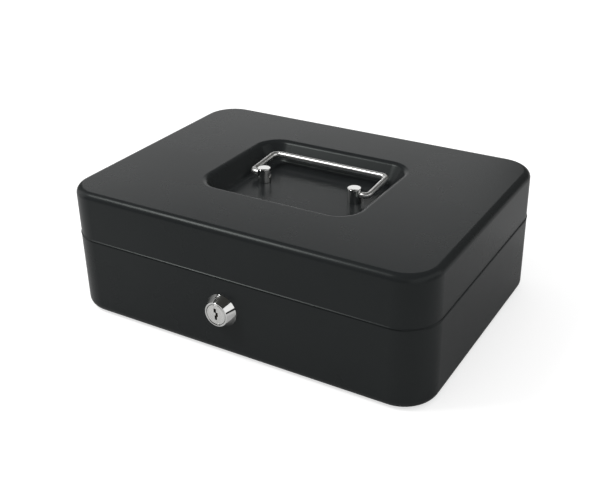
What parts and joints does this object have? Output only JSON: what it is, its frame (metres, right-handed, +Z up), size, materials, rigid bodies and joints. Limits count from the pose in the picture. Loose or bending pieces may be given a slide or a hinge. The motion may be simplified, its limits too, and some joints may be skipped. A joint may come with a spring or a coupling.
{
  "type": "cash box",
  "caption": "Steel cash box with a hinged lid, a folding wire handle in a pressed pan, a cam lock and a lift-out coin tray.",
  "frame": {"origin": "centre of the lid's and base's outline, on the underside of the base", "axes": "+Z up, -Y towards the lock and the user, +X to the right seen from the front, along the longest side"},
  "size_m": [0.25, 0.1858, 0.085],
  "materials": {
    "black_paint": "fine semi-matte powder coat",
    "chrome": "polished chrome plate",
    "plug_face": "fine satin nickel",
    "zinc": "bright zinc plate",
    "brass": "stamped",
    "tray_plastic": "moulded, lightly textured"
  },
  "bodies": {
    "base": {"base_shell": "black_paint", "hinge_leaf_base": "black_paint", "hinge_pin": "zinc", "tray_ledge_left": "black_paint", "tray_ledge_right": "black_paint", "lock_housing": "chrome", "lock_washer": "zinc", "lock_nut": "zinc"},
    "lid": {"lid_shell": "black_paint", "hinge_leaf_lid": "black_paint", "lid_catch": "zinc", "handle_post_left": "chrome", "handle_post_right": "chrome", "post_washers": "zinc", "post_screws": "zinc"},
    "handle": {"handle_bail": "chrome"},
    "lock_core": {"lock_plug": "plug_face", "lock_wafers": "brass", "lock_wafer_springs": "zinc", "lock_cam": "zinc", "cam_washer": "zinc", "cam_screw": "zinc"},
    "tray": {"coin_tray": "tray_plastic"}
  },
  "joints": [
    {"name": "lid_hinge", "type": "hinge", "parent": "base", "child": "lid", "pos_m": [0, 0.0878, 0.0543], "axis": [-1, 0, 0], "range_deg": [0, 96]},
    {"name": "handle_swing", "type": "hinge", "parent": "lid", "child": "handle", "pos_m": [0, 0.0035, 0.078], "axis": [1, 0, 0], "range_deg": [-10, 182]},
    {"name": "lock_turn", "type": "hinge", "parent": "base", "child": "lock_core", "pos_m": [-0.00575, -0.0898, 0.03125], "axis": [0, 1, 0], "range_deg": [0, 90]},
    {"name": "tray_lift", "type": "slide", "parent": "base", "child": "tray", "axis": [0, 0, 1], "range_m": [0, 0.007]}
  ]
}
